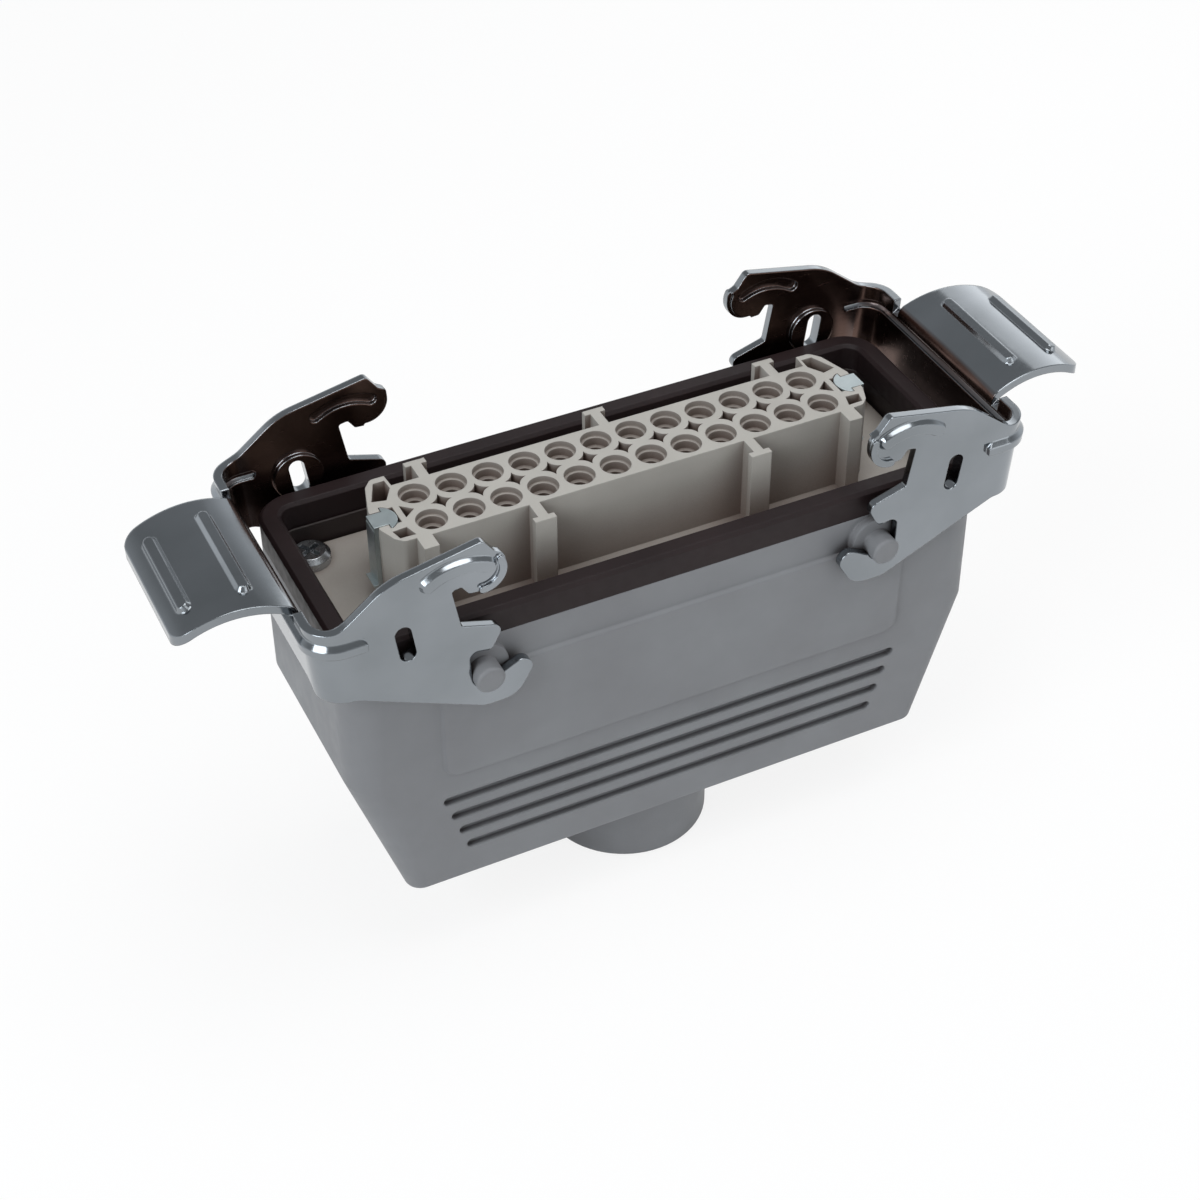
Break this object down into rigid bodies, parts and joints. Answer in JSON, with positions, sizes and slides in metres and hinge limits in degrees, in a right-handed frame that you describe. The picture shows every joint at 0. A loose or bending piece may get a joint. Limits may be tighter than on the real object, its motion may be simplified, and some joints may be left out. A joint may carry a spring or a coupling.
{
  "type": "rectangular power connector hood",
  "caption": "Cable hood of a rectangular power connector: cast housing with two sheet locking levers, sealing ring and a multi-pole socket insert with earth contacts.",
  "frame": {"origin": "centre of the cable collar's lower face, at the bottom of the connector", "axes": "+Z out of the mouth towards the mating half, +X along the hood's length, +Y across it, towards the side of the block with three T-shaped ribs"},
  "size_m": [0.1656, 0.0538, 0.0932],
  "materials": {
    "hood_paint": "matt grey powder coat on die-cast aluminium",
    "seal_rubber": "matt",
    "insert_plastic": "satin moulded, pebble grey",
    "contact_brass": "silver plated",
    "screw_steel": "bright zinc plated",
    "earth_zinc": "bright zinc plated",
    "lever_steel": "satin zinc plated"
  },
  "bodies": {
    "hood": {"hood_housing": "hood_paint", "rim_gasket": "seal_rubber", "insert_body": "insert_plastic", "terminal_screws": "screw_steel", "earth_contact_left": "earth_zinc", "earth_contact_right": "earth_zinc", "earth_terminal_screws": "screw_steel", "insert_screws": "screw_steel", "contact_01": "contact_brass", "contact_02": "contact_brass", "contact_03": "contact_brass", "contact_04": "contact_brass", "contact_05": "contact_brass", "contact_06": "contact_brass", "contact_07": "contact_brass", "contact_08": "contact_brass", "contact_09": "contact_brass", "contact_10": "contact_brass", "contact_11": "contact_brass", "contact_12": "contact_brass", "contact_13": "contact_brass", "contact_14": "contact_brass", "contact_15": "contact_brass", "contact_16": "contact_brass", "contact_17": "contact_brass", "contact_18": "contact_brass", "contact_19": "contact_brass", "contact_20": "contact_brass", "contact_21": "contact_brass", "contact_22": "contact_brass", "contact_23": "contact_brass", "contact_24": "contact_brass"},
    "left_lever": {"left_lever": "lever_steel"},
    "right_lever": {"right_lever": "lever_steel"}
  },
  "joints": [
    {"name": "left_lever_swing", "type": "hinge", "parent": "hood", "child": "left_lever", "pos_m": [-0.0365, 0, 0.0664], "axis": [0, -1, 0], "range_deg": [0, 40]},
    {"name": "right_lever_swing", "type": "hinge", "parent": "hood", "child": "right_lever", "pos_m": [0.0365, 0, 0.0664], "axis": [0, 1, 0], "range_deg": [0, 40]}
  ]
}
